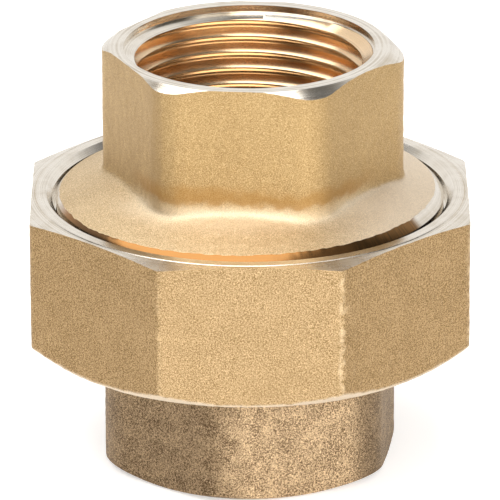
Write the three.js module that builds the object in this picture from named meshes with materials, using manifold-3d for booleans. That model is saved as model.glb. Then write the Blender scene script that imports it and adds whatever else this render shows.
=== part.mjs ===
// Straight pipe union with two female ends: an upper body, a lower body (tailpiece) with its
// O-ring, and an eight-sided union nut that draws them together. Millimetres, +Z up, the origin
// at the centre of the lower body's bottom face. -Y is the front.
import * as THREE from 'three';
import { mergeVertices } from 'three/addons/utils/BufferGeometryUtils.js';
import Module from 'manifold-3d';

// ---- driving dimensions ----
const unionHeight = 46.2;
const meshGap = 0.3; // free space kept between two pieces that bear on each other
const overlap = 1; // how far a cutter or a core runs past the surface that it trims
const weldDistance = 1e-4; // vertices nearer than this are one

const flankAngle = 27.5; // of every thread, in degrees from a plane across the axis

// pipe thread of both ends, G 3/4: radii of its crests and roots
const pipePitch = 1.814;
const pipeMinor = 12.06;
const pipeMajor = 13.22;
const pipeMouth = 13.41; // radius where the lead-in chamfer meets the end face
const pipeMouthDepth = 2.0;
const pipeThreadDepth = 14.6;
const waterway = 11.6;

// union thread of the nut and the upper body, G 1 1/4
const unionPitch = 2.309;
const unionMinor = 19.476;
const unionMajor = 20.955;
const nutThreadEase = 0.07; // the nut's thread is this much larger in radius than nominal
const bodyThreadEase = 0.15; // and the upper body's this much smaller
const bodyFlankEase = 0.1; // taken off each flank of the upper body's thread, along the axis
const bodyLeadIn = 1.6; // 45 degree chamfer at the start of the upper body's thread

// union nut, octagonal
const nutBottom = 14.0;
const nutHeight = 16.0;
const nutFlats = 46.94;
const nutCorner = 0.8;
const nutRimOuter = 23.0;
const nutRimInner = 21.9;
const nutTopSlope = 0.22;
const nutBottomRadius = 23.2;
const nutBottomSlope = 0.63;
const nutCounterbore = 21.25;
const nutCounterboreDepth = 1.8;
const nutRelief = 21.1; // plain groove below the nut's thread
const nutThreadBottom = 19.4;
const lipThickness = 3.0;
const lipRadius = 17.2;
const lipEdge = 0.5;

// upper body
const upperFlats = 29.3;
const upperCorner = 4.3;
const upperTurn = -5.65; // degrees that the hexagon is turned from the front, towards +X
const forgeShift = 0.35; // the forging sits this far to +X of the turned axis
const upperRim = 14.85; // outer radius of the flat end face
const upperSlope = 0.55;
const flangeRadius = 20.05;
const flangeHeight = 30.2; // height of the forged flange at that radius
const flangeSlope = 0.445;
const flangeFoot = 17.0; // radius where the flange starts to curve up into the hexagon
const footCurve = [[1.3, 0.8], [2.3, 1.9]]; // how far in and up from there the curve's points are
const threadEndHeight = 20.4; // underside of the upper body
const landHeight = 28.5; // above this the thread's outside is a plain turned land
const bevelHeight = 29.45; // and above this a 45 degree bevel runs in to the flange
const bevelRun = 2; // the bevel's cone ends this far in, clear of the hexagon
const noseGap = 0.42;

// lower body
const lowerFlats = 30.3;
const lowerCorner = 7.5;
const lowerTurn = 21.5;
const lowerRim = 14.67;
const lowerSlope = 0.5;
const neckRadius = 16.5;
const neckHeight = 12.7;
const neckRise = 2.8; // height over which the hexagon narrows to the round neck
const neckLap = 0.2; // how far the hexagon's top stays below the neck's foot
const collarRadius = 19.0;
const collarThickness = 2.7;
const noseLength = 6.5;
const noseBase = 17.0;
const noseTaper = 0.323; // loss of radius for each millimetre of height
const grooveRadius = 14.0;
const grooveBottom = 21.9;
const grooveTop = 24.5;

// seal ring: the section as it is squeezed in its groove
const sealCentre = 15.175;
const sealHalfWidth = 1.02;
const sealHalfHeight = 1.18;
const sealSides = 8;

// facets of round things
const turnedSides = 40;
const pipeSides = 28;
const cornerSteps = 3;

const nutTop = nutBottom + nutHeight;
const lipTop = nutBottom + lipThickness;
const collarBottom = lipTop + meshGap;
const collarTop = collarBottom + collarThickness;
const noseTop = collarTop + noseLength;
const seatTop = noseTop + noseGap;

const wasm = await Module();
wasm.setup();

// ---- geometry to solid and back ----
function toSolid(geometry) {
  const bare = geometry.index ? geometry.toNonIndexed() : geometry.clone();
  bare.deleteAttribute('normal');
  bare.deleteAttribute('uv');
  const merged = mergeVertices(bare, weldDistance);
  return new wasm.Manifold(new wasm.Mesh({
    numProp: 3,
    vertProperties: new Float32Array(merged.attributes.position.array),
    triVerts: new Uint32Array(merged.index.array),
  }));
}

function toGeometry(solid) {
  const mesh = solid.getMesh();
  const geometry = new THREE.BufferGeometry();
  geometry.setAttribute('position', new THREE.BufferAttribute(mesh.vertProperties, 3));
  geometry.setIndex(new THREE.BufferAttribute(mesh.triVerts, 1));
  return geometry;
}

// A solid turned about +Z. The profile is a list of [radius, height] from the bottom of the axis,
// up the outside, to the top of the axis.
function turned(profile, sides = turnedSides, shiftX = 0) {
  const points = profile.map(([radius, height]) => new THREE.Vector2(radius, height));
  const geometry = new THREE.LatheGeometry(points, sides);
  geometry.rotateX(Math.PI / 2);
  geometry.translate(shiftX, 0, 0);
  return toSolid(geometry);
}

// An upright prism with rounded corners. One flat faces the front, then turns towards +X.
function prism(sides, acrossFlats, corner, bottom, top, turnDegrees, shiftX = 0) {
  const shape = new THREE.Shape();
  const halfStep = Math.PI / sides;
  const reach = (acrossFlats / 2 - corner) / Math.cos(halfStep);
  const front = -Math.PI / 2 + THREE.MathUtils.degToRad(turnDegrees);
  for (let side = 0; side < sides; side += 1) {
    const bisector = front + halfStep * (2 * side + 1);
    const x = reach * Math.cos(bisector) + shiftX;
    const y = reach * Math.sin(bisector);
    shape.absarc(x, y, corner, bisector - halfStep, bisector + halfStep, false);
  }
  const options = { depth: top - bottom, bevelEnabled: false, curveSegments: cornerSteps };
  const geometry = new THREE.ExtrudeGeometry(shape, options);
  geometry.translate(0, 0, bottom);
  return toSolid(geometry);
}

// A right-hand screw: a core with a 55 degree ridge wound on it, from bottom to top, both ends
// left ragged for a turned shape to trim. Row 0 of each pitch is the root, 1 the foot of the
// rising flank, 2 and 3 the crest. thin takes that much off each flank, along the axis, and adds
// row 4, the foot of the falling flank.
function screw(minor, major, pitch, bottom, top, sides, thin = 0) {
  const flank = (major - minor) * Math.tan(THREE.MathUtils.degToRad(flankAngle));
  const flat = (pitch - 2 * flank) / 2;
  const section = [
    [minor, 0],
    [minor, flat + thin],
    [major, flat + flank + thin],
    [major, flat * 2 + flank - thin],
  ];
  if (thin > 0) {
    section.push([minor, pitch - thin]);
  }
  const rows = section.length;
  const start = (Math.floor(bottom / pitch) - 1) * pitch;
  const turns = Math.ceil((top - start) / pitch) + 1;
  const steps = turns * sides;
  const positions = [];
  for (let step = 0; step <= steps; step += 1) {
    const angle = (step / sides) * 2 * Math.PI;
    for (const [radius, rise] of section) {
      const height = start + rise + (step / sides) * pitch;
      positions.push(radius * Math.cos(angle), radius * Math.sin(angle), height);
    }
  }
  const low = positions.length / 3;
  positions.push(0, 0, start);
  const high = low + 1;
  positions.push(0, 0, start + (turns + 1) * pitch);
  const at = (step, row) => (row < rows ? step * rows + row : (step + sides) * rows);
  const triangles = [];
  for (let step = 0; step < steps; step += 1) {
    for (let row = 0; row < rows; row += 1) {
      if (row === rows - 1 && step + 1 + sides > steps) {
        break;
      }
      const [a, b] = [at(step, row), at(step + 1, row)];
      const [c, d] = [at(step + 1, row + 1), at(step, row + 1)];
      triangles.push(a, b, c, a, c, d);
    }
  }
  const bottomLoop = [];
  for (let step = 0; step <= sides; step += 1) {
    bottomLoop.push(at(step, 0));
  }
  for (let row = rows - 1; row >= 0; row -= 1) {
    bottomLoop.push(at(0, row));
  }
  for (let i = 0; i + 1 < bottomLoop.length; i += 1) {
    triangles.push(low, bottomLoop[i + 1], bottomLoop[i]);
  }
  const topLoop = [];
  for (let step = steps - sides; step <= steps; step += 1) {
    topLoop.push(at(step, rows - 1));
  }
  for (let row = rows - 2; row >= 0; row -= 1) {
    topLoop.push(at(steps, row));
  }
  topLoop.push(at(steps - sides, rows - 1));
  for (let i = 0; i + 1 < topLoop.length; i += 1) {
    triangles.push(high, topLoop[i], topLoop[i + 1]);
  }
  const geometry = new THREE.BufferGeometry();
  geometry.setAttribute('position', new THREE.Float32BufferAttribute(positions, 3));
  geometry.setIndex(triangles);
  return toSolid(geometry);
}

// ---- threaded ends ----
// What is cut out of a body for one G 3/4 end, with its mouth at the top of the union.
function pipeEnd() {
  const foot = unionHeight - pipeThreadDepth;
  const above = unionHeight + overlap;
  const wide = pipeMajor + overlap;
  const tapEnd = turned([
    [0, foot],
    [pipeMinor, foot],
    [wide, foot + overlap + pipePitch],
    [wide, above],
    [0, above],
  ], pipeSides);
  const thread = screw(pipeMinor, pipeMajor, pipePitch, foot, above, pipeSides);
  const run = (pipeMouth - pipeMinor) / pipeMouthDepth;
  const mouthFoot = unionHeight - pipeMouthDepth - overlap;
  const mouth = turned([
    [0, mouthFoot],
    [pipeMinor - overlap * run, mouthFoot],
    [pipeMouth + overlap * run, above],
    [0, above],
  ], pipeSides);
  return thread.intersect(tapEnd).add(mouth);
}

// The same solid turned over about the X axis, so that the union's top becomes its bottom.
function turnedOver(solid) {
  const geometry = toGeometry(solid);
  geometry.rotateX(Math.PI);
  geometry.translate(0, 0, unionHeight);
  return toSolid(geometry);
}

function throughBore() {
  const above = unionHeight + overlap;
  return turned([[0, -overlap], [waterway, -overlap], [waterway, above], [0, above]], pipeSides);
}

const flangeAt = (radius) => flangeHeight + (flangeRadius - radius) * flangeSlope;
const noseAt = (height) => noseBase - noseTaper * (height - collarTop);

// ---- sub-parts ----
function upperBody() {
  const land = unionMajor - bodyThreadEase;
  const wide = land + overlap;
  const foot = flangeAt(flangeFoot);
  const curve = footCurve.map(([inward, rise]) => [flangeFoot - inward, foot + rise]);
  const curveTop = curve[curve.length - 1][1];
  const hexagon = prism(6, upperFlats, upperCorner, landHeight, unionHeight, upperTurn, forgeShift);
  const skirt = turned([
    [0, landHeight],
    [wide, landHeight],
    [wide, flangeAt(wide)],
    [flangeFoot, foot],
    ...curve,
    [0, curveTop],
  ], turnedSides, forgeShift);
  const waist = land - bevelRun;
  const turning = turned([
    [0, landHeight],
    [land, landHeight],
    [land, bevelHeight],
    [waist, bevelHeight + bevelRun],
    [waist, unionHeight - (waist - upperRim) * upperSlope],
    [upperRim, unionHeight],
    [0, unionHeight],
  ]);
  const threadTop = landHeight + meshGap;
  const blank = turned([
    [0, threadEndHeight],
    [land - bodyLeadIn, threadEndHeight],
    [wide, threadEndHeight + bodyLeadIn + overlap],
    [wide, threadTop],
    [0, threadTop],
  ]);
  const minor = unionMinor - bodyThreadEase;
  const thread = screw(minor, land, unionPitch, threadEndHeight, threadTop, turnedSides, bodyFlankEase);
  const seatFoot = threadEndHeight - overlap;
  const seat = turned([
    [0, seatFoot],
    [noseAt(seatFoot) + noseGap, seatFoot],
    [noseAt(seatTop) + noseGap, seatTop],
    [0, seatTop],
  ]);
  return hexagon.add(skirt).intersect(turning).add(thread.intersect(blank))
    .subtract(seat).subtract(pipeEnd()).subtract(throughBore());
}

function lowerBody() {
  const hexagon = prism(6, lowerFlats, lowerCorner, 0, neckHeight - neckLap, lowerTurn);
  const stem = turned([
    [0, overlap],
    [lowerRim - overlap, overlap],
    [lowerRim - overlap, neckHeight - neckRise],
    [neckRadius, neckHeight],
    [neckRadius, collarBottom],
    [collarRadius, collarBottom],
    [collarRadius, collarTop],
    [noseBase, collarTop],
    [noseAt(grooveBottom), grooveBottom],
    [grooveRadius, grooveBottom],
    [grooveRadius, grooveTop],
    [noseAt(grooveTop), grooveTop],
    [noseAt(noseTop), noseTop],
    [0, noseTop],
  ]);
  const wide = collarRadius + overlap;
  const turning = turned([
    [0, 0],
    [lowerRim, 0],
    [wide, (wide - lowerRim) * lowerSlope],
    [wide, unionHeight],
    [0, unionHeight],
  ]);
  return hexagon.add(stem).intersect(turning)
    .subtract(turnedOver(pipeEnd())).subtract(throughBore());
}

function unionNut() {
  const minor = unionMinor + nutThreadEase;
  const major = unionMajor + nutThreadEase;
  const threadTop = nutTop - nutCounterboreDepth;
  const octagon = prism(8, nutFlats, nutCorner, nutBottom, nutTop, 0);
  const reach = nutFlats; // well outside the corners
  const turning = turned([
    [0, nutBottom],
    [nutBottomRadius, nutBottom],
    [reach, nutBottom + (reach - nutBottomRadius) * nutBottomSlope],
    [reach, nutTop - (reach - nutRimOuter) * nutTopSlope],
    [nutRimOuter, nutTop],
    [0, nutTop],
  ]);
  const bore = turned([
    [0, nutBottom - overlap],
    [lipRadius + lipEdge + overlap, nutBottom - overlap],
    [lipRadius, nutBottom + lipEdge],
    [lipRadius, lipTop],
    [nutRelief, lipTop],
    [nutRelief, nutThreadBottom],
    [lipRadius, nutThreadBottom],
    [lipRadius, threadTop],
    [nutCounterbore, threadTop],
    [nutCounterbore, nutTop - (nutRimInner - nutCounterbore)],
    [nutRimInner + overlap, nutTop + overlap],
    [0, nutTop + overlap],
  ]);
  const tapFoot = nutThreadBottom - overlap;
  const tapTop = threadTop + overlap / 2;
  const tapEnd = turned([
    [0, tapFoot],
    [major + overlap, tapFoot],
    [major + overlap, tapTop],
    [0, tapTop],
  ]);
  const tap = screw(minor, major, unionPitch, tapFoot, threadTop + overlap, turnedSides);
  return octagon.intersect(turning).subtract(bore).subtract(tap.intersect(tapEnd));
}

function sealRing() {
  const points = [];
  for (let side = 0; side <= sealSides; side += 1) {
    const angle = (side / sealSides) * 2 * Math.PI;
    const radius = sealCentre + sealHalfWidth * Math.cos(angle);
    const height = (grooveBottom + grooveTop) / 2 + sealHalfHeight * Math.sin(angle);
    points.push([radius, height]);
  }
  return turned(points);
}

// ---- the union ----
const materials = {
  upper: new THREE.MeshStandardMaterial({ color: 0xd8b070, roughness: 0.45, metalness: 1 }),
  nut: new THREE.MeshStandardMaterial({ color: 0xb89258, roughness: 0.55, metalness: 1 }),
  lower: new THREE.MeshStandardMaterial({ color: 0x96794e, roughness: 0.6, metalness: 1 }),
  rubber: new THREE.MeshStandardMaterial({ color: 0x1c1c1e, roughness: 0.7, metalness: 0 }),
};

const union = new THREE.Group();
function addPiece(name, solid, material) {
  const mesh = new THREE.Mesh(toGeometry(solid), material);
  mesh.name = name;
  union.add(mesh);
}

addPiece('lower_body', lowerBody(), materials.lower);
addPiece('seal_ring', sealRing(), materials.rubber);
addPiece('union_nut', unionNut(), materials.nut);
addPiece('upper_body', upperBody(), materials.upper);

export default union;
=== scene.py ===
"""Straight pipe union: an upper body, a tailpiece with its seal, and the union nut between them.

Each brass piece is made as the real one is. A forging is built up and softened, a turned envelope
is cut from it, and the threads are cut or wound last, so the faces that a lathe would leave carry
the turned finish and the rest keeps the blasted one. Lengths are metres, +Z is up, and -Y is the
front.
"""

import math

import bpy
from bpy.props import FloatProperty, FloatVectorProperty, PointerProperty
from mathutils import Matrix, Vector


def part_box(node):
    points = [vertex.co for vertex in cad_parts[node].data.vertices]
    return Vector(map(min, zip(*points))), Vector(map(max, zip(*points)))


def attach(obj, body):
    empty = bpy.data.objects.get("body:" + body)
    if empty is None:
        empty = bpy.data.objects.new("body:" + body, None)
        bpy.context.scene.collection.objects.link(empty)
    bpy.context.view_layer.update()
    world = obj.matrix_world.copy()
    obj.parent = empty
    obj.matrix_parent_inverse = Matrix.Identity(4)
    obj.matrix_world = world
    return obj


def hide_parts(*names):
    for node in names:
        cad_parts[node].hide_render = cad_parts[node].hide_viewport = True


bl_info = {
    "name": "Pipe union",
    "version": (1, 0, 0),
    "blender": (4, 5, 0),
    "location": "3D View > Sidebar > Pipe Union",
    "description": "Builds a three-piece brass pipe union and its stage round the packed frame",
    "category": "Object",
}

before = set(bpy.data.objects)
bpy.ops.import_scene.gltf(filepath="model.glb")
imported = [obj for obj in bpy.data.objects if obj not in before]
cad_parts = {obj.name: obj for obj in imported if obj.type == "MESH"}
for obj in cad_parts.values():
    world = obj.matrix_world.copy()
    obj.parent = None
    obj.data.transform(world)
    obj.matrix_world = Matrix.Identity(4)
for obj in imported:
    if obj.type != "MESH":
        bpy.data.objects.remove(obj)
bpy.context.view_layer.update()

MM = 0.001
TURN = 2 * math.pi
UPPER_LOW, UPPER_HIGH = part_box("upper_body")
NUT_LOW, NUT_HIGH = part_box("union_nut")
LOWER_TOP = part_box("lower_body")[1].z
SEAL_LOW, SEAL_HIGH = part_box("seal_ring")
TOP = UPPER_HIGH.z
BEYOND = 1 * MM  # how far a cutting solid runs past what it cuts
OVERLAP = 0.3 * MM  # how far a thread's solid runs into the one that it joins or is cut from
VOXEL = 0.3 * MM  # grid of the remesh that joins up a forging
SKIN = 0.06 * MM  # small unevenness of a forged skin, which leaves turned edges ragged
SKIN_SIZE = 0.7 * MM
FLANK = math.tan(math.radians(27.5))  # run of a 55 degree thread's flank for each unit of depth
SEAL_SIDES = 28
SMOOTH_BELOW = math.radians(28)  # faces that meet at less than this are shaded as one


# ---- sizes and colours that a user may change ----
def length(name, text, value):
    return FloatProperty(name=name, description=text, default=value * MM, unit="LENGTH", precision=5)


def ratio(name, text, value):
    return FloatProperty(name=name, description=text, default=value)


def angle(name, text, degrees):
    return FloatProperty(name=name, description=text, default=math.radians(degrees), subtype="ANGLE")


def colour(name, text, value):
    return FloatVectorProperty(
        name=name, description=text, default=value, subtype="COLOR", size=3, min=0, max=1
    )


class PipeThreadSizes(bpy.types.PropertyGroup):
    """The G 3/4 female thread of both ends."""

    pitch: length("Pitch", "Distance between two crests", 1.814)
    minor: length("Crest radius", "Radius of the thread's crests", 12.06)
    major: length("Root radius", "Radius of the thread's roots", 13.22)
    mouth: length("Mouth radius", "Radius of the plain wall at the end face", 13.41)
    mouth_wall: length("Mouth wall", "Depth of the plain wall at the end face", 0.72)
    mouth_ledge: length("Mouth ledge", "Fall of the sloping ledge below that wall", 0.45)
    depth: length("Depth", "Depth of the threaded socket", 14.6)
    waterway: length("Waterway radius", "Radius of the plain bore between the sockets", 11.6)


class UnionThreadSizes(bpy.types.PropertyGroup):
    """The G 1 1/4 thread between the nut and the upper body."""

    pitch: length("Pitch", "Distance between two crests", 2.309)
    minor: length("Minor radius", "Nominal radius at the nut's crests", 19.476)
    major: length("Major radius", "Nominal radius at the body's crests", 20.955)
    nut_ease: length("Nut ease", "How much larger in radius the nut's thread is", 0.07)
    body_ease: length("Body ease", "How much smaller in radius the body's thread is", 0.15)
    thin: length("Flank ease", "How much is taken off each flank of the body's thread", 0.1)


class UpperBodySizes(bpy.types.PropertyGroup):
    """The hexagon, flange and thread of the upper body, in the union's own heights."""

    flats: length("Across flats", "Width of the hexagon", 29.3)
    corner: length("Corner radius", "Rounding of the hexagon's corners", 4.0)
    turn: angle("Turn", "How far one flat is turned from the front", -5.65)
    forge_shift: length("Forging offset", "How far the forging sits off the turned axis", 0.35)
    rim: length("End face radius", "Outer radius of the flat end face", 14.85)
    slope: ratio("Chamfer slope", "Fall of the turned chamfer", 0.55)
    flange: length("Flange radius", "Radius at which the flange height is measured", 20.05)
    flange_height: length("Flange height", "Height of the flange there", 30.2)
    flange_slope: ratio("Flange slope", "Rise of the flange inwards", 0.445)
    foot: length("Foot radius", "Where the flange runs into the hexagon", 13.5)
    land: length("Land height", "Top of the thread, bottom of the plain land", 28.5)
    bevel: length("Bevel height", "Height where the 45 degree bevel starts", 29.45)
    lead_in: length("Lead-in", "Chamfer at the start of the thread", 1.6)
    nose_gap: length("Seat gap", "Free space between the nose and its seat", 0.42)


class UnionNutSizes(bpy.types.PropertyGroup):
    """The octagonal nut, outside and in."""

    corner: length("Corner radius", "Rounding of the octagon's corners", 0.7)
    rim_outer: length("Rim radius", "Outer radius of the flat top rim", 23.0)
    rim_inner: length("Rim inner radius", "Inner radius of the flat top rim", 21.9)
    top_slope: ratio("Top slope", "Fall of the turned top chamfer", 0.22)
    bottom_radius: length("Bottom radius", "Radius of the flat underside", 23.2)
    bottom_slope: ratio("Bottom slope", "Rise of the forged bottom chamfer", 0.63)
    counterbore: length("Counterbore radius", "Plain bore above the thread", 21.25)
    counterbore_depth: length("Counterbore depth", "Depth of that plain bore", 1.8)
    relief: length("Relief radius", "Plain groove below the thread", 21.1)
    thread_bottom: length("Thread bottom", "Height where the thread starts", 19.4)
    lip: length("Lip thickness", "Thickness of the inward lip", 3.0)
    lip_radius: length("Lip radius", "Radius of the hole in the lip", 17.2)
    lip_edge: length("Lip edge", "Chamfer on the lip's lower edge", 0.5)


class LowerBodySizes(bpy.types.PropertyGroup):
    """The hexagon, neck, collar and nose of the tailpiece."""

    flats: length("Across flats", "Width of the hexagon", 30.3)
    corner: length("Corner radius", "Rounding of the hexagon's corners", 6.5)
    turn: angle("Turn", "How far one flat is turned from the front", 21.5)
    rim: length("End face radius", "Outer radius of the flat bottom face", 14.67)
    slope: ratio("Chamfer slope", "Rise of the bottom chamfer", 0.5)
    neck: length("Neck radius", "Radius of the round neck in the nut's lip", 16.5)
    neck_height: length("Neck height", "Height where the neck is round", 12.7)
    collar: length("Collar radius", "Radius of the collar that the nut pulls on", 19.0)
    collar_bottom: length("Collar bottom", "Height of the collar's underside", 17.3)
    collar_top: length("Collar top", "Height of the collar's upper face", 20.0)
    nose: length("Nose radius", "Radius of the conical nose at the collar", 17.0)
    nose_taper: ratio("Nose taper", "Loss of radius with height", 0.323)
    groove: length("Groove radius", "Radius of the seal groove's floor", 14.0)
    groove_bottom: length("Groove bottom", "Height of the groove's lower wall", 21.9)
    groove_top: length("Groove top", "Height of the groove's upper wall", 24.5)


class FinishColours(bpy.types.PropertyGroup):
    """Base colours of the finishes."""

    upper_light: colour("Upper body, light", "Blasted brass of the upper body", (0.60, 0.425, 0.208))
    upper_dark: colour("Upper body, dark", "Its pits", (0.335, 0.213, 0.087))
    nut_light: colour("Nut, light", "Coarser blasted brass of the nut", (0.64, 0.46, 0.255))
    nut_dark: colour("Nut, dark", "Its pits", (0.28, 0.18, 0.075))
    # The lower body's darker tone is partly its own coarser finish and partly painted shade under the
    # nut's overhang.
    lower_light: colour("Lower body, light", "Coarse darker brass", (0.44, 0.315, 0.185))
    lower_dark: colour("Lower body, dark", "Its pits", (0.10, 0.06, 0.03))
    turned: colour("Turned brass", "Fresh cut brass", (0.80, 0.74, 0.65))
    # Warmer and darker than the turned brass: the same cut brass, with the inter-reflection and shade of
    # the bores painted into its colour.
    thread: colour("Thread brass", "Cut brass of the threads", (0.87, 0.64, 0.405))
    rubber: colour("Rubber", "Black nitrile rubber", (0.02, 0.02, 0.022))


class StageSettings(bpy.types.PropertyGroup):
    """Where the camera stands, and how large the floor is."""

    distance: length("Distance", "From the camera to the middle of the top face", 720.4)
    elevation: angle("Elevation", "Of the camera above the middle of the top face", 19.308)
    tilt: angle("Tilt", "How much lower than that point the camera aims", 1.729)
    roll: angle("Roll", "Turn of the picture", -0.19)
    focal: length("Focal length", "Of the lens", 486.62)
    floor: FloatProperty(name="Floor size", description="Side of the floor", default=3.0, unit="LENGTH")


# ---- modelling steps, each as it is done by hand ----
def pick(*objects):
    """Selects only these objects, and makes the first one active."""
    bpy.ops.object.select_all(action="DESELECT")
    for one in objects:
        one.select_set(True)
    bpy.context.view_layer.objects.active = objects[0]


def edit(select="SELECT"):
    bpy.ops.object.mode_set(mode="EDIT")
    bpy.ops.mesh.select_mode(type="VERT")
    bpy.ops.mesh.select_all(action=select)


def leave():
    bpy.ops.object.mode_set(mode="OBJECT")


def named(name, finish):
    """Names the active object, puts its place into its mesh and gives it its finish."""
    bpy.ops.object.transform_apply(location=True, rotation=True, scale=True)
    piece = bpy.context.object
    piece.name = name
    piece.data.name = name
    piece.data.materials.clear()
    piece.data.materials.append(finish)
    return piece


def drawn(name, points, finish):
    """An outline in the XZ plane: one vertex, extruded from point to point."""
    bpy.ops.object.select_all(action="DESELECT")
    start = (points[0][0], 0, points[0][1])
    bpy.ops.mesh.primitive_plane_add(size=MM, location=start)
    piece = named(name, finish)
    edit()
    bpy.ops.mesh.merge(type="CENTER")
    for (x0, z0), (x1, z1) in zip(points, points[1:]):
        step = {"value": (x1 - x0, 0, z1 - z0)}
        bpy.ops.mesh.extrude_vertices_move(TRANSFORM_OT_translate=step)
    leave()
    return piece


def spun(name, points, finish, steps=256, shift=0.0, closed=False):
    """A solid turned about the axis from an outline that starts and ends on it, or is closed."""
    piece = drawn(name, points, finish)
    edit()
    if closed:
        bpy.ops.mesh.edge_face_add()
        bpy.ops.mesh.delete(type="ONLY_FACE")
        bpy.ops.mesh.select_all(action="SELECT")
    bpy.ops.mesh.spin(steps=steps, angle=TURN, center=(0, 0, 0), axis=(0, 0, 1), use_auto_merge=False)
    bpy.ops.mesh.select_all(action="SELECT")
    bpy.ops.mesh.remove_doubles(threshold=MM / 1000)
    bpy.ops.mesh.normals_make_consistent(inside=False)
    if shift:
        bpy.ops.transform.translate(value=(shift, 0, 0))
    leave()
    return piece


def ridge(name, section, pitch, bottom, top, finish, steps=128):
    """A right-hand ridge of that section, wound from below bottom to above top."""
    start = (math.floor(bottom / pitch) - 1) * pitch
    piece = drawn(name, [(x, z + start) for x, z in section], finish)
    edit()
    bpy.ops.mesh.edge_face_add()
    bpy.ops.mesh.delete(type="ONLY_FACE")
    leave()
    winding = piece.modifiers.new("winding", "SCREW")
    winding.angle = TURN
    winding.steps = winding.render_steps = steps
    winding.iterations = math.ceil((top - start) / pitch) + 1
    winding.screw_offset = pitch
    winding.use_merge_vertices = False
    bpy.ops.object.modifier_apply(modifier=winding.name)
    edit("DESELECT")
    bpy.ops.mesh.select_non_manifold()
    bpy.ops.mesh.fill_holes(sides=0)
    bpy.ops.mesh.select_all(action="SELECT")
    bpy.ops.mesh.normals_make_consistent(inside=False)
    leave()
    return piece


def bar(name, sides, flats, corner, bottom, top, turn, finish, shift=0.0):
    """An upright bar with rounded corners. One flat faces the front, turned towards +X."""
    half = math.pi / sides
    bpy.ops.object.select_all(action="DESELECT")
    bpy.ops.mesh.primitive_cylinder_add(
        vertices=sides,
        radius=flats / 2 / math.cos(half),
        depth=top - bottom,
        location=(shift, 0, (top + bottom) / 2),
        rotation=(0, 0, half + turn),
    )
    piece = named(name, finish)
    edit("DESELECT")
    bpy.ops.mesh.select_mode(type="EDGE")
    leave()
    for edge in piece.data.edges:
        one, other = (piece.data.vertices[i].co for i in edge.vertices)
        edge.select = abs(one.z - other.z) > (top - bottom) / 2
    bpy.ops.object.mode_set(mode="EDIT")
    bpy.ops.mesh.bevel(offset=corner * math.tan(half), segments=8, affect="EDGES", clamp_overlap=False)
    leave()
    return piece


def apply(piece, kind, **settings):
    """Adds a modifier with these settings and applies it."""
    pick(piece)
    modifier = piece.modifiers.new(kind.lower(), kind)
    for key, value in settings.items():
        setattr(modifier, key, value)
    bpy.ops.object.modifier_apply(modifier=modifier.name)


def combine(piece, tool, operation):
    """Adds, cuts or keeps what is shared, and removes the tool. Cut faces take the tool's finish."""
    apply(piece, "BOOLEAN", object=tool, operation=operation, solver="MANIFOLD", material_mode="TRANSFER")
    bpy.data.objects.remove(tool)


def forge(piece, softness, wave, wave_size):
    """Softens the edges of a rough solid as a die does, and leaves its faces slightly uneven."""
    apply(piece, "REMESH", mode="VOXEL", voxel_size=VOXEL)
    apply(piece, "SMOOTH", factor=0.5, iterations=softness)
    for strength, size, depth in ((wave, wave_size, 2), (SKIN, SKIN_SIZE, 0)):
        pattern = bpy.data.textures.new(piece.name + "_skin", "CLOUDS")
        pattern.noise_scale = size
        pattern.noise_depth = depth
        inward = {"strength": strength, "mid_level": 1.0}
        apply(piece, "DISPLACE", texture=pattern, texture_coords="LOCAL", **inward)


def finish_piece(piece, node, body):
    """Shades the piece and puts it in the place of its CAD node."""
    pick(piece)
    bpy.ops.object.shade_smooth_by_angle(angle=SMOOTH_BELOW)
    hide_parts(node)
    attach(piece, body)


# ---- shader maths ----
class Value:
    """A number that a node gives, which Python's operators turn into more Math nodes."""

    def __init__(self, finish, socket):
        self.finish = finish
        self.socket = socket

    def math(self, operation, *others, clamp=False):
        inputs = {i: other for i, other in enumerate((self, *others))}
        node = self.finish.node("ShaderNodeMath", {"operation": operation, "use_clamp": clamp}, inputs)
        return Value(self.finish, node.outputs[0])

    def __add__(self, other):
        return self.math("ADD", other)

    def __radd__(self, other):
        return self.math("ADD", other)

    def __sub__(self, other):
        return self.math("SUBTRACT", other)

    def __rsub__(self, other):
        return -self + other

    def __neg__(self):
        return self * -1

    def __mul__(self, other):
        return self.math("MULTIPLY", other)

    def __rmul__(self, other):
        return self.math("MULTIPLY", other)

    def __truediv__(self, other):
        return self.math("DIVIDE", other)

    def __pow__(self, other):
        return self.math("POWER", other)

    def clamped(self):
        return self.math("ADD", 0.0, clamp=True)

    def between(self, low, high):
        """0 below low, 1 above high, and smooth between them."""
        settings = {"interpolation_type": "SMOOTHSTEP"}
        inputs = {"Value": self, "From Min": low, "From Max": high}
        node = self.finish.node("ShaderNodeMapRange", settings, inputs)
        return Value(self.finish, node.outputs["Result"])

    def band(self, start, full, fading, end):
        """0 before start and after end, and 1 from full to fading."""
        return self.between(start, full) * (1 - self.between(fading, end))


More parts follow.
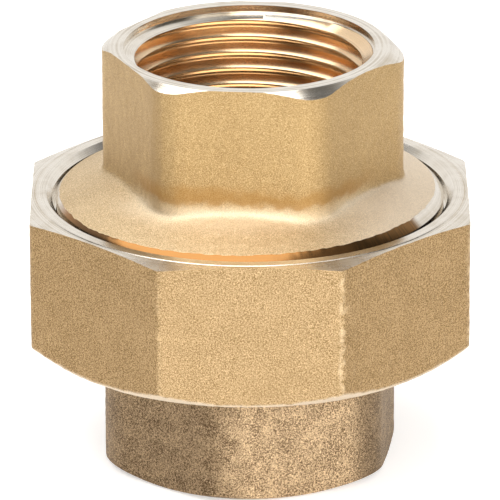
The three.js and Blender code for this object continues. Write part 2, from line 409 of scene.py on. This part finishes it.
class Nodes:
    """Adds nodes to a tree: their settings first, then the values or links of their sockets."""

    def __init__(self, tree):
        self.tree = tree

    def node(self, kind, settings=None, inputs=None):
        node = self.tree.nodes.new(kind)
        for key, value in (settings or {}).items():
            setattr(node, key, value)
        for key, value in (inputs or {}).items():
            self.feed(node.inputs[key], value)
        return node

    def feed(self, socket, value):
        if isinstance(value, Value):
            value = value.socket
        if isinstance(value, bpy.types.NodeSocket):
            self.tree.links.new(value, socket)
        else:
            socket.default_value = value

    def split(self, vector):
        parts = self.node("ShaderNodeSeparateXYZ", {}, {0: vector})
        return (Value(self, parts.outputs[i]) for i in range(3))

    def streaks(self, along, size, detail, rough=0.5):
        """Noise between 0 and 1 that changes only with along, in steps of about size."""
        inputs = {"W": along, "Scale": 1 / size, "Detail": detail, "Roughness": rough}
        node = self.node("ShaderNodeTexNoise", {"noise_dimensions": "1D"}, inputs)
        return Value(self, node.outputs["Fac"])

    def mix(self, low, high, factor, blend="MIX"):
        """A colour between low and high."""
        node = self.node("ShaderNodeMix", {"data_type": "RGBA", "blend_type": blend})
        self.feed(node.inputs["Factor"], factor)
        self.feed(node.inputs[6], (*low, 1) if isinstance(low, tuple) else low)
        self.feed(node.inputs[7], (*high, 1) if isinstance(high, tuple) else high)
        return node.outputs[2]


class Finish(Nodes):
    """A material with one Principled shader, whose patterns read Object coordinates in millimetres."""

    def __init__(self, name, **constants):
        self.material = bpy.data.materials.new(name)
        self.material.use_nodes = True
        super().__init__(self.material.node_tree)
        self.shader = next(n for n in self.tree.nodes if n.type == "BSDF_PRINCIPLED")
        for key, value in constants.items():
            self.shader.inputs[key.replace("_", " ")].default_value = value
        coordinates = self.node("ShaderNodeTexCoord").outputs
        scaling = {0: coordinates["Object"], "Scale": 1 / MM}
        self.place = self.node("ShaderNodeVectorMath", {"operation": "SCALE"}, scaling).outputs["Vector"]
        self.facing = coordinates["Normal"]  # which way the surface faces, in the piece's own frame
        self.x, self.y, self.z = self.split(self.place)

    def radius(self):
        """Distance from the union's axis in millimetres."""
        return (self.x * self.x + self.y * self.y) ** 0.5

    def noise(self, size, detail=2.0, rough=0.5):
        """Noise between 0 and 1 whose blobs are about size millimetres across."""
        inputs = {"Vector": self.place, "Scale": 1 / size, "Detail": detail, "Roughness": rough}
        return Value(self, self.node("ShaderNodeTexNoise", {}, inputs).outputs["Fac"])

    def bump(self, height, depth):
        """A normal from a height between 0 and 1 that stands for depth metres."""
        return self.node("ShaderNodeBump", {}, {"Height": height, "Distance": depth}).outputs["Normal"]

    def shade(self, **sockets):
        for key, value in sockets.items():
            self.feed(self.shader.inputs[key.replace("_", " ")], value)
        return self.material


def blasted(name, light, dark, grain, depth, speckle, patch, unevenness, roughness):
    """Shot-blasted forging: a peened grain with darker pits, bright specks that are painted glints, and
    slow patches of tone.

    grain and patch are widths in millimetres. speckle and unevenness are how much they change the tone.
    """
    finish = Finish(name, Metallic=1.0)
    grains = finish.noise(grain, detail=3.0, rough=0.75)
    fine = finish.noise(grain * 0.45, detail=1.0)
    patches = finish.noise(patch, detail=3.0, rough=0.55)
    tone = (grains + fine - 1) * speckle + (patches - 0.5) * unevenness + 0.5
    # Painted glints: small bright specks where the grain is highest.
    glints = (grains * 0.5 + fine * 0.5).between(0.6, 0.72) * 0.5
    bright = (0.95, 0.84, 0.62)
    finish.base = finish.mix(finish.mix(tuple(dark), tuple(light), tone.clamped()), bright, glints)
    finish.shade(
        Roughness=grains * 0.12 + (roughness - 0.06),
        Normal=finish.bump(grains * 0.6 + fine * 0.4, depth),
    )
    return finish


def painted_light_upper(finish):
    """Painted light and shade on the upper body: the flange is painted paler where it faces up and on its
    right, the front of the foot carries a painted highlight, and painted shade darkens faces turned to the
    front left and the crease above the foot.
    """
    lift, cream, sand = (1.45, 1.66, 2.3), (1.0, 0.88, 0.68), (1.0, 0.90, 0.78)
    umber, shade_orange = (0.34, 0.23, 0.12), (0.40, 0.22, 0.065)
    x, y, z = finish.split(finish.facing)
    front = (-finish.y).between(6.0, 12.0)
    up = z.between(0.2, 0.75)
    # Painted light: faces that face up are painted paler.
    base = finish.mix(finish.base, lift, up * 0.66, "MULTIPLY")
    # Painted highlight along the front of the foot, on the flange next to the hexagon.
    brightened = (1 - finish.radius().between(15.3, 18.3)) * (1 - finish.z.between(32.4, 34.2)) * front
    base = finish.mix(base, cream, brightened * 0.4)
    # Painted light: the up-facing flange towards the right is painted paler still.
    right = finish.x.between(6.0, 16.0)
    base = finish.mix(base, sand, up * right * 0.4)
    # Painted shade: faces turned towards the front left, at the hexagon's corner there, are darkened.
    corner = (x * -0.788 - y * 0.616).between(0.95, 0.995)
    base = finish.mix(base, umber, corner * 0.42)
    # Painted shade in the crease just above the hexagon's foot at the front, with ragged edges.
    ragged = finish.z + finish.noise(1.8, detail=4.0) * 3.0 - 1.5
    crease_shade = ragged.band(33.2, 34.0, 34.2, 35.8) * front
    return finish.shade(Base_Color=finish.mix(base, shade_orange, crease_shade * 0.65))


def wear_and_painted_light_nut(finish):
    """Painted shade makes its sides duller than its front and back; its corners are rubbed bright, with a
    painted highlight that is stronger on the right; and a painted highlight brightens its lower edge.
    """
    dull, gold, pale = (0.86, 0.83, 0.78), (0.84, 0.66, 0.43), (0.88, 0.78, 0.64)
    x, y, z = finish.split(finish.facing)
    across, along = x.math("ABSOLUTE"), y.math("ABSOLUTE")
    # Painted shade: the sides are duller than the front and back.
    sides = 1 - along.between(0.78, 0.95)
    base = finish.mix(finish.base, dull, sides, "MULTIPLY")
    near, far = 0.383, 0.924  # sine and cosine of 22.5 degrees, where the corners are
    corners = (across * near + along * far).math("MAXIMUM", across * far + along * near)
    # The corners are rubbed bright by wear, in patches, and carry a painted highlight that is stronger on
    # the right.
    brightened = corners.between(0.93, 0.99) * finish.noise(0.8, detail=4.0).between(0.4, 0.65)
    right = finish.x.between(0.0, 5.0)
    base = finish.mix(base, gold, brightened * (right * 0.4 + 0.1))
    # Painted highlight: faces that face down, along the lower edge, are painted paler as if lit from the
    # floor.
    under = (-z).between(0.1, 0.5)
    return finish.shade(Base_Color=finish.mix(base, pale, under * 0.6))


def painted_light_lower(finish):
    """Painted light: the lower body is brighter towards the front right than at its left and far right."""
    lit_tint = (1.6, 1.65, 1.7)
    ragged = finish.x + finish.noise(2.0) * 3.0 - 1.5
    # Painted light: a ragged band towards the front right is painted brighter.
    lit_front_right = ragged.band(-4.5, 0.0, 10.5, 12.5)
    return finish.shade(Base_Color=finish.mix(finish.base, lit_tint, lit_front_right, "MULTIPLY"))


def turned_brass(name, base, roughness, line, depth, contrast):
    """Fresh cut brass with the fine rings that a lathe tool leaves, line millimetres apart."""
    finish = Finish(name, Metallic=1.0)
    radius = finish.radius()
    rings = finish.streaks(radius * 0.8 + finish.z, line, detail=3.0, rough=0.7)
    smudge = finish.noise(2.5, detail=3.0)
    tint = tuple(base)
    deep = (tint[0] * 0.62, tint[1] * 0.55, tint[2] * 0.45)
    tone = ((rings - 0.5) * 1.8 + (smudge - 0.5) * 1.2) * contrast + 0.82
    finish.base = finish.mix(deep, tint, tone.clamped())
    scuffed = radius.between(21.0, 23.0) * 0.12
    finish.shade(
        Base_Color=finish.base,
        Roughness=smudge * 0.1 + roughness + scuffed,
        Normal=finish.bump(rings, depth),
    )
    return finish


def bevel_reflections_and_chatter(finish):
    """The flange's bevel: a painted warm reflection of the nut at the front, painted shade to its left,
    and chatter lines to its right that are painted dark as shade.
    """
    copper, shadow, chatter_shade = (0.34, 0.165, 0.055), (0.12, 0.065, 0.03), (0.12, 0.07, 0.028)
    spacing = 1 / 90  # of the hatching, in radians about the axis
    turned_by = finish.x.math("ARCTAN2", -finish.y)
    # Painted reflection: warm copper from the nut's brass across the front.
    warm = turned_by.band(-1.45, -1.2, 1.0, 1.08)
    base = finish.mix(finish.base, copper, warm)
    dark = turned_by.band(-1.3, -1.0, -0.85, -0.7)
    base = finish.mix(base, shadow, dark * 0.85)
    # To the right: real chatter lines, painted dark as shade reflected from the nut's inner chamfer.
    shaded_chatter = turned_by.band(0.5, 0.62, 1.0, 1.08)
    lines = finish.streaks(turned_by, spacing, detail=2.0).between(0.35, 0.65) * 0.5 + 0.35
    return finish.shade(Base_Color=finish.mix(base, chatter_shade, shaded_chatter * lines))


def black_rubber(name, base):
    """Rubber with a faint grey bloom."""
    finish = Finish(name, Metallic=0.0, Specular_IOR_Level=0.45)
    bloom = finish.noise(0.6, detail=4.0)
    tint = tuple(base)
    grey = tuple(min(1.0, part * 2.2 + 0.01) for part in tint)
    return finish.shade(
        Base_Color=finish.mix(tint, grey, bloom.between(0.45, 0.8)),
        Roughness=bloom * 0.2 + 0.42,
        Normal=finish.bump(bloom, 0.01 * MM),
    )


def finishes(colours):
    """The materials by name, made once."""
    made = bpy.data.materials
    if "upper_blasted" not in made:
        upper_tones = (colours.upper_light, colours.upper_dark)
        painted_light_upper(blasted(
            "upper_blasted", *upper_tones, grain=0.13, depth=0.06 * MM, speckle=6.0,
            patch=6.0, unevenness=0.8, roughness=0.52,
        ))
        nut_tones = (colours.nut_light, colours.nut_dark)
        wear_and_painted_light_nut(blasted(
            "nut_blasted", *nut_tones, grain=0.18, depth=0.08 * MM, speckle=6.5,
            patch=4.0, unevenness=0.9, roughness=0.6,
        ))
        lower_tones = (colours.lower_light, colours.lower_dark)
        painted_light_lower(blasted(
            "lower_blasted", *lower_tones, grain=0.2, depth=0.09 * MM, speckle=4.5,
            patch=2.0, unevenness=1.3, roughness=0.6,
        ))
        turned_brass(
            "turned_brass", colours.turned, roughness=0.1, line=0.22, depth=0.005 * MM, contrast=1.0,
        )
        turned_brass(
            "thread_brass", colours.thread, roughness=0.16, line=0.3, depth=0.0005 * MM, contrast=0.3,
        )
        bevel_reflections_and_chatter(turned_brass(
            "bevel_brass", colours.turned, roughness=0.16, line=0.12, depth=0.002 * MM, contrast=0.6,
        ))
        black_rubber("nitrile_rubber", colours.rubber)
    return made


# ---- shared shapes ----
def pipe_socket(piece, sizes, flip=False):
    """Cuts a threaded G 3/4 end into a piece, at the union's top, or at its bottom with flip."""
    skin = finishes(bpy.context.scene.union_colours)
    turned, threaded = skin["turned_brass"], skin["thread_brass"]
    foot = TOP - sizes.depth
    above = TOP + BEYOND
    wall = TOP - sizes.mouth_wall
    ledge = wall - sizes.mouth_ledge
    core = spun("core", [(0, foot), (sizes.minor, foot), (sizes.minor, above), (0, above)], threaded)
    mouth = spun(
        "mouth",
        [(0, ledge), (sizes.minor, ledge), (sizes.mouth, wall), (sizes.mouth, above), (0, above)],
        turned,
    )
    flank = (sizes.major - sizes.minor) * FLANK
    flat = sizes.pitch / 2 - flank
    inside = sizes.minor - OVERLAP
    mouth_half = flank + flat / 2  # half of the groove's width at the thread's crests
    dull = 0.12 * MM  # how far the crests' edges are rubbed off
    crest = mouth_half + dull * 2 / 3
    near_root, root_half = sizes.major - 0.1 * MM, flat / 2 + 0.052 * MM  # where its floor rounds off
    side = [
        (inside, crest), (sizes.minor, crest), (sizes.minor + dull, mouth_half - dull / 2),
        (near_root, root_half), (sizes.major, flat / 4),
    ]
    section = [(x, -z) for x, z in side] + side[::-1]
    groove = ridge("groove", section, sizes.pitch, foot, TOP, threaded)
    taper = spun(
        "taper",
        [
            (0, foot), (sizes.minor, foot), (sizes.major + BEYOND, foot + BEYOND + sizes.pitch),
            (sizes.major + BEYOND, above), (0, above),
        ],
        threaded,
    )
    combine(groove, taper, "INTERSECT")
    for tool in (core, groove, mouth):
        if flip:
            pick(tool)
            edit()
            bpy.ops.transform.rotate(value=math.pi, orient_axis="X", center_override=(0, 0, TOP / 2))
            leave()
        combine(piece, tool, "DIFFERENCE")


def waterway(piece, sizes):
    """Bores the plain hole that joins the two sockets."""
    turned = finishes(bpy.context.scene.union_colours)["turned_brass"]
    low, high = -BEYOND, TOP + BEYOND
    bore = spun("bore", [(0, low), (sizes.waterway, low), (sizes.waterway, high), (0, high)], turned)
    combine(piece, bore, "DIFFERENCE")


def union_section(minor, major, sizes, thin=0.0):
    """Section of the union thread's ridge, drawn from its root to its crest and back."""
    flank = (major - minor) * FLANK
    flat = sizes.pitch / 2 - flank
    root = minor - OVERLAP
    low, high = flat + thin, sizes.pitch - thin
    crest = [(major, low + flank), (major, high - flank)]
    return [(root, low), (minor, low), *crest, (minor, high), (root, high)]


# ---- the pieces ----
class UNION_OT_upper_body(bpy.types.Operator):
    """Makes the upper body: hexagon, flange, male union thread and the upper pipe socket"""

    bl_idname = "union.upper_body"
    bl_label = "Upper body"

    def execute(self, context):
        scene = context.scene
        size, thread = scene.union_upper, scene.union_thread
        skin = finishes(scene.union_colours)
        forged, turned, threaded = skin["upper_blasted"], skin["turned_brass"], skin["thread_brass"]
        land = thread.major - thread.body_ease

        def flange_at(radius):
            return size.flange_height + (size.flange - radius) * size.flange_slope

        body = bar(
            "upper_body_brass", 6, size.flats, size.corner, size.land - BEYOND, TOP + 2 * BEYOND,
            size.turn, forged, size.forge_shift,
        )
        wide = land + BEYOND
        skirt = spun(
            "skirt",
            [
                (0, size.land - BEYOND), (wide, size.land - BEYOND), (wide, flange_at(wide)),
                (size.foot, flange_at(size.foot)), (0, flange_at(size.foot)),
            ],
            forged,
            shift=size.forge_shift,
        )
        combine(body, skirt, "UNION")
        forge(body, softness=20, wave=0.05 * MM, wave_size=5 * MM)
        envelope = spun(
            "envelope",
            [
                (0, size.land), (land, size.land), (land, TOP - (land - size.rim) * size.slope),
                (size.rim, TOP), (0, TOP),
            ],
            turned,
        )
        combine(body, envelope, "INTERSECT")
        reach = 2 * MM
        bevel = spun(
            "bevel",
            [
                (land, size.bevel), (land + reach, size.bevel - reach),
                (land + reach, size.bevel + reach), (land - reach, size.bevel + reach),
            ],
            skin["bevel_brass"],
            closed=True,
        )
        combine(body, bevel, "DIFFERENCE")
        low, high = UPPER_LOW.z, size.land + OVERLAP
        minor = thread.minor - thread.body_ease
        break_edge = 0.4 * MM
        core = spun(
            "core",
            [(0, low), (minor - break_edge, low), (minor, low + break_edge), (minor, high), (0, high)],
            threaded,
        )
        section = union_section(minor, land, thread, thread.thin)
        coil = ridge("coil", section, thread.pitch, low, high, threaded)
        blank = spun(
            "blank",
            [
                (0, low), (land - size.lead_in, low), (land + BEYOND, low + size.lead_in + BEYOND),
                (land + BEYOND, high), (0, high),
            ],
            turned,
        )
        combine(coil, blank, "INTERSECT")
        combine(body, core, "UNION")
        combine(body, coil, "UNION")
        lower = scene.union_lower

        def seat_at(height):
            return lower.nose - lower.nose_taper * (height - lower.collar_top) + size.nose_gap

        seat_top = LOWER_TOP + size.nose_gap
        under = low - BEYOND
        seat = spun(
            "seat",
            [(0, under), (seat_at(under), under), (seat_at(seat_top), seat_top), (0, seat_top)],
            turned,
        )
        combine(body, seat, "DIFFERENCE")
        pipe_socket(body, scene.union_pipe)
        waterway(body, scene.union_pipe)
        finish_piece(body, "upper_body", "head")
        return {"FINISHED"}


class UNION_OT_union_nut(bpy.types.Operator):
    """Makes the octagonal union nut with its female thread and inward lip"""

    bl_idname = "union.union_nut"
    bl_label = "Union nut"

    def execute(self, context):
        scene = context.scene
        size, thread = scene.union_nut, scene.union_thread
        skin = finishes(scene.union_colours)
        forged, turned, threaded = skin["nut_blasted"], skin["turned_brass"], skin["thread_brass"]
        bottom, top = NUT_LOW.z, NUT_HIGH.z
        flats = NUT_HIGH.y - NUT_LOW.y
        nut = bar("union_nut_brass", 8, flats, size.corner, bottom, top + 2 * BEYOND, 0, forged)
        reach = flats
        die = spun(
            "die",
            [
                (0, bottom), (size.bottom_radius, bottom),
                (reach, bottom + (reach - size.bottom_radius) * size.bottom_slope),
                (reach, top + 2 * BEYOND), (0, top + 2 * BEYOND),
            ],
            forged,
        )
        combine(nut, die, "INTERSECT")
        forge(nut, softness=5, wave=0.05 * MM, wave_size=5 * MM)
        mark = 0.16 * MM  # width of the fine groove round the rim
        mark_depth = mark * 0.6
        envelope = spun(
            "envelope",
            [
                (0, bottom - BEYOND), (reach, bottom - BEYOND),
                (reach, top - (reach - size.rim_outer) * size.top_slope),
                (size.rim_outer + mark, top - mark * size.top_slope),
                (size.rim_outer + mark / 2, top - mark_depth),
                (size.rim_outer, top), (0, top),
            ],
            turned,
        )
        combine(nut, envelope, "INTERSECT")
        lip_top = bottom + size.lip
        thread_top = top - size.counterbore_depth
        bore = spun(
            "bore",
            [
                (0, bottom - BEYOND), (size.lip_radius + size.lip_edge + BEYOND, bottom - BEYOND),
                (size.lip_radius, bottom + size.lip_edge), (size.lip_radius, lip_top),
                (size.relief, lip_top), (size.relief, size.thread_bottom),
                (size.lip_radius, size.thread_bottom),
                (size.lip_radius, thread_top), (size.counterbore, thread_top),
                (size.counterbore, top - (size.rim_inner - size.counterbore)),
                (size.rim_inner + BEYOND, top + BEYOND), (0, top + BEYOND),
            ],
            turned,
        )
        combine(nut, bore, "DIFFERENCE")
        minor, major = thread.minor + thread.nut_ease, thread.major + thread.nut_ease
        low, high = size.thread_bottom - BEYOND, thread_top + BEYOND / 2
        core = spun("core", [(0, low), (minor, low), (minor, high), (0, high)], threaded)
        groove = ridge("groove", union_section(minor, major, thread), thread.pitch, low, high, threaded)
        wide = major + BEYOND
        trim = spun("trim", [(0, low), (wide, low), (wide, high), (0, high)], threaded)
        combine(groove, trim, "INTERSECT")
        combine(nut, core, "DIFFERENCE")
        combine(nut, groove, "DIFFERENCE")
        finish_piece(nut, "union_nut", "nut")
        return {"FINISHED"}


class UNION_OT_lower_body(bpy.types.Operator):
    """Makes the lower body: hexagon, neck, collar, grooved nose and the lower pipe socket"""

    bl_idname = "union.lower_body"
    bl_label = "Lower body"

    def execute(self, context):
        scene = context.scene
        size = scene.union_lower
        skin = finishes(scene.union_colours)
        forged, turned = skin["lower_blasted"], skin["turned_brass"]
        body = bar(
            "lower_body_brass", 6, size.flats, size.corner, -2 * BEYOND, size.neck_height,
            size.turn, forged,
        )
        waist = size.rim - BEYOND
        cone = 2.8 * MM  # height over which the hexagon narrows to the neck
        shoulder = spun(
            "shoulder",
            [
                (0, BEYOND), (waist, BEYOND), (waist, size.neck_height - cone),
                (size.neck, size.neck_height), (size.neck, size.collar_bottom), (0, size.collar_bottom),
            ],
            forged,
        )
        combine(body, shoulder, "UNION")
        forge(body, softness=8, wave=0.07 * MM, wave_size=4 * MM)
        wide = size.collar + BEYOND
        tip = LOWER_TOP
        under_collar = size.collar_bottom - 0.5 * MM
        envelope = spun(
            "envelope",
            [
                (0, 0), (size.rim, 0), (wide, (wide - size.rim) * size.slope),
                (wide, under_collar), (0, under_collar),
            ],
            forged,
        )
        combine(body, envelope, "INTERSECT")

        def nose_at(height):
            return size.nose - size.nose_taper * (height - size.collar_top)

        edge, small_edge = 0.3 * MM, 0.2 * MM  # chamfers that break the turned edges
        forged_neck = 1.5 * MM  # how much of the neck's foot keeps the forged skin
        head_foot = size.neck_height + forged_neck
        head = spun(
            "head",
            [
                (0, head_foot), (size.neck, head_foot), (size.neck, size.collar_bottom),
                (size.collar - small_edge, size.collar_bottom),
                (size.collar, size.collar_bottom + small_edge),
                (size.collar, size.collar_top - edge), (size.collar - edge, size.collar_top),
                (size.nose, size.collar_top), (nose_at(size.groove_bottom), size.groove_bottom),
                (size.groove, size.groove_bottom), (size.groove, size.groove_top),
                (nose_at(size.groove_top), size.groove_top), (nose_at(tip - edge), tip - edge),
                (nose_at(tip) - edge, tip), (0, tip),
            ],
            turned,
        )
        combine(body, head, "UNION")
        pipe_socket(body, scene.union_pipe, flip=True)
        waterway(body, scene.union_pipe)
        finish_piece(body, "lower_body", "tailpiece")
        return {"FINISHED"}


class UNION_OT_seal_ring(bpy.types.Operator):
    """Makes the rubber O-ring as it is squeezed in its groove"""

    bl_idname = "union.seal_ring"
    bl_label = "Seal ring"

    def execute(self, context):
        skin = finishes(context.scene.union_colours)
        lower = context.scene.union_lower
        outer = SEAL_HIGH.x
        clearance = 0.15 * MM  # from the groove's floor
        inner = lower.groove + clearance
        centre, half_width = (outer + inner) / 2, (outer - inner) / 2
        middle, half_height = (SEAL_LOW.z + SEAL_HIGH.z) / 2, (SEAL_HIGH.z - SEAL_LOW.z) / 2
        turns = [TURN * i / SEAL_SIDES for i in range(SEAL_SIDES)]
        section = [
            (centre + half_width * math.cos(turn), middle + half_height * math.sin(turn))
            for turn in turns
        ]
        ring = spun("seal_ring_rubber", section, skin["nitrile_rubber"], closed=True)
        finish_piece(ring, "seal_ring", "tailpiece")
        return {"FINISHED"}


class UNION_OT_stage(bpy.types.Operator):
    """Sets the floor, the softbox overhead, the pale surroundings and the camera"""

    bl_idname = "union.stage"
    bl_label = "Stage"

    def execute(self, context):
        scene = context.scene
        stage = scene.union_stage
        bpy.ops.object.select_all(action="DESELECT")
        bpy.ops.mesh.primitive_plane_add(size=stage.floor, location=(0, 0, 0))
        floor = context.object
        floor.name = "floor"
        paint = Finish("floor_white", Roughness=0.8, Specular_IOR_Level=0.2, Emission_Color=(1, 1, 1, 1))
        paint.shader.inputs["Emission Strength"].default_value = 0.5
        floor.data.materials.append(paint.shade(Base_Color=(0.7, 0.7, 0.7, 1)))
        self.light("overhead softbox", (-0.32, -0.2, 0.9), (-0.32, -0.2, 0), 1.1, 1.3, 12.0)
        scene.world = self.surroundings()
        scene.view_settings.view_transform = "Standard"
        self.camera(scene, stage)
        return {"FINISHED"}

    def surroundings(self):
        """Pale behind, brightest in front and a little to the right, and dim at the sides and overhead."""
        world = bpy.data.worlds.new("surroundings")
        world.use_nodes = True
        nodes = Nodes(world.node_tree)
        x, y, z = nodes.split(nodes.node("ShaderNodeTexCoord").outputs["Generated"])
        outward = (x * x + y * y) ** 0.5
        back = y / outward
        front = (x * 0.34 - y * 0.94) / outward
        dim, overhead = 0.12, 0.15
        level = dim + back.between(0.3, 0.7) * 0.9 + front.between(0.6, 0.9) * 3.0
        level = level + z.between(0.65, 0.88) * (overhead - level)
        background = world.node_tree.nodes["Background"]
        background.inputs["Color"].default_value = (1, 1, 1, 1)
        nodes.feed(background.inputs["Strength"], level)
        return world

    def light(self, name, place, target, width, height, power):
        bpy.ops.object.light_add(type="AREA", location=place)
        lamp = bpy.context.object
        lamp.name = name
        lamp.data.shape = "RECTANGLE"
        lamp.data.size = width
        lamp.data.size_y = height
        lamp.data.energy = power
        aim = Vector(target) - Vector(place)
        lamp.rotation_euler = aim.to_track_quat("-Z", "Y").to_euler()

    def camera(self, scene, stage):
        across = stage.distance * math.cos(stage.elevation)
        place = (0, -across, TOP + stage.distance * math.sin(stage.elevation))
        bpy.ops.object.camera_add(location=place)
        camera = bpy.context.object
        camera.name = "camera"
        camera.rotation_mode = "ZXY"
        camera.rotation_euler = (math.pi / 2 - stage.elevation - stage.tilt, 0, stage.roll)
        camera.data.sensor_width = 36
        camera.data.lens = stage.focal / MM
        camera.data.clip_start = 0.01
        scene.camera = camera


class UNION_PT_panel(bpy.types.Panel):
    """Lists the sizes and the steps in the 3D view's sidebar"""

    bl_idname = "UNION_PT_panel"
    bl_label = "Pipe Union"
    bl_space_type = "VIEW_3D"
    bl_region_type = "UI"
    bl_category = "Pipe Union"

    def draw(self, context):
        for step in STEPS:
            self.layout.operator(step.bl_idname)
        for name, group in GROUPS.items():
            box = self.layout.box()
            for key in group.__annotations__:
                box.prop(getattr(context.scene, name), key)


STEPS = (
    UNION_OT_stage,
    UNION_OT_lower_body,
    UNION_OT_seal_ring,
    UNION_OT_union_nut,
    UNION_OT_upper_body,
)
GROUPS = {
    "union_pipe": PipeThreadSizes,
    "union_thread": UnionThreadSizes,
    "union_upper": UpperBodySizes,
    "union_nut": UnionNutSizes,
    "union_lower": LowerBodySizes,
    "union_colours": FinishColours,
    "union_stage": StageSettings,
}


def register():
    for name, group in GROUPS.items():
        bpy.utils.register_class(group)
        setattr(bpy.types.Scene, name, PointerProperty(type=group))
    for step in (*STEPS, UNION_PT_panel):
        bpy.utils.register_class(step)


def unregister():
    for step in (*STEPS, UNION_PT_panel):
        bpy.utils.unregister_class(step)
    for name, group in GROUPS.items():
        delattr(bpy.types.Scene, name)
        bpy.utils.unregister_class(group)


def main():
    register()
    bpy.ops.union.stage()
    bpy.ops.union.lower_body()
    bpy.ops.union.seal_ring()
    bpy.ops.union.union_nut()
    bpy.ops.union.upper_body()


if __name__ == "__main__":
    main()
